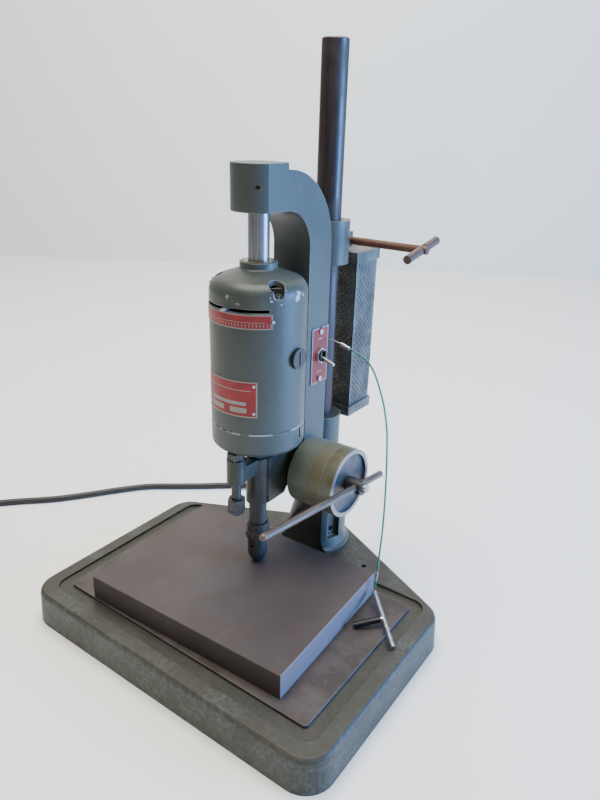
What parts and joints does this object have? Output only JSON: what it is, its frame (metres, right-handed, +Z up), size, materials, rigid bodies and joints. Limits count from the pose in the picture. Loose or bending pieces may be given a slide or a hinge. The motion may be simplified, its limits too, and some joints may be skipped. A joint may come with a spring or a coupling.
{
  "type": "bench drill press",
  "caption": "Small sensitive drill press: a motor unit with chuck slides under a cast head frame on a column, with feed lever, cast base and loose work block.",
  "frame": {"origin": "on the bench, under the spindle axis, on the base's underside", "axes": "+Z up along the spindle and the column, +X to the machine's right (feed drum and switch side), +Y to the rear (column side)"},
  "size_m": [0.7262, 0.3658, 0.562],
  "materials": {
    "base_paint": "semi-gloss hammered blue-grey paint, oxidised machined top",
    "head_paint": "semi-gloss hammered blue-grey paint",
    "drum_cast": "worn blue-grey paint over iron",
    "blued_steel": "dark oiled steel",
    "bright_steel": "ground bright steel",
    "rusty_steel": "brown rust patina",
    "block_iron": "brown oxidised ground plate",
    "bakelite": "black moulded bakelite",
    "plate_red": "red enamelled aluminium plate with a bare rim",
    "galvanised": "galvanised sheet",
    "bronze": "bearing bronze",
    "copper": "copper",
    "ceramic": "fired ceramic former",
    "carbon": "carbon",
    "wire_green": "green plastic covered steel wire",
    "cord_black": "black rubber"
  },
  "bodies": {
    "base": {"base_casting": "base_paint", "pedestal": "head_paint", "pedestal_screws": "blued_steel", "column_lock_screw": "blued_steel"},
    "column": {"column": "blued_steel", "cord_tube": "cord_black", "cord_coil": "cord_black", "mains_plug": "bakelite"},
    "head": {"head_frame": "head_paint", "guide_rod": "bright_steel", "guide_rod_screw": "blued_steel", "switch_plate": "plate_red", "switch_screws": "bright_steel", "switch_body": "bakelite", "switch_nut": "bright_steel", "cage_shell": "galvanised", "cage_top_cap": "galvanised", "cage_bottom_cap": "galvanised", "cage_screws": "bright_steel", "resistor": "ceramic", "drum_housing": "head_paint", "drum_ring": "drum_cast", "drum_face": "bright_steel", "return_spring": "blued_steel", "tether_hook": "bright_steel", "tether_wire": "wire_green", "chuck_key": "bright_steel", "cord_relief": "cord_black"},
    "motor_unit": {"motor_housing": "head_paint", "end_bell": "head_paint", "guide_bush": "bronze", "bearing_plate": "galvanised", "bearings": "bright_steel", "stator": "blued_steel", "brush_holders": "bronze", "brushes": "carbon", "brush_caps": "bakelite", "motor_plates": "plate_red", "plate_rivets": "bright_steel", "housing_screws": "blued_steel", "quill": "blued_steel", "feed_rack": "bright_steel", "depth_rod": "bright_steel", "depth_nuts": "blued_steel"},
    "spindle": {"spindle": "bright_steel", "armature": "copper", "commutator": "copper", "fan": "galvanised", "chuck_body": "blued_steel", "chuck_ring": "blued_steel", "chuck_jaws": "bright_steel"},
    "speed_control": {"speed_ring": "bright_steel"},
    "feed_lever": {"feed_shaft": "blued_steel", "feed_pinion": "bright_steel", "lever_rod": "rusty_steel", "lever_knob": "bright_steel"},
    "clamp": {"clamp_screw": "rusty_steel", "clamp_bar": "rusty_steel"},
    "toggle": {"toggle_lever": "bright_steel"},
    "work_block": {"work_block": "block_iron"}
  },
  "joints": [
    {"name": "column_swing", "type": "hinge", "parent": "base", "child": "column", "pos_m": [0, 0.109, 0.1], "axis": [0, 0, 1], "range_deg": [0, 15]},
    {"name": "head_height", "type": "slide", "parent": "column", "child": "head", "axis": [0, 0, 1], "range_m": [0, 0.1]},
    {"name": "feed", "type": "slide", "parent": "head", "child": "motor_unit", "axis": [0, 0, 1], "range_m": [0, 0.018]},
    {"name": "lever_turn", "type": "hinge", "parent": "head", "child": "feed_lever", "pos_m": [0.083, 0.0558, 0.1555], "axis": [1, 0, 0], "range_deg": [-86.2, 0]},
    {"name": "spindle_spin", "type": "hinge", "parent": "motor_unit", "child": "spindle", "pos_m": [0, 0, 0.1], "axis": [0, 0, 1], "continuous": true},
    {"name": "speed_set", "type": "hinge", "parent": "motor_unit", "child": "speed_control", "pos_m": [0, 0, 0.343], "axis": [0, 0, 1], "range_deg": [-40, 40]},
    {"name": "clamp_turn", "type": "hinge", "parent": "head", "child": "clamp", "pos_m": [0.05, 0.134, 0.3815], "axis": [1, 0, 0], "range_deg": [0, 120]},
    {"name": "switch_throw", "type": "hinge", "parent": "head", "child": "toggle", "pos_m": [0.02, 0.07, 0.277], "axis": [0, -1, 0], "range_deg": [0, 40]},
    {"name": "block_slide", "type": "slide", "parent": "base", "child": "work_block", "axis": [-0.0419, 0.9991, 0], "range_m": [-0.01, 0.02]}
  ],
  "couplings": [
    {"joint": "lever_turn", "follows": "feed", "rad_per_m": -83.333}
  ]
}
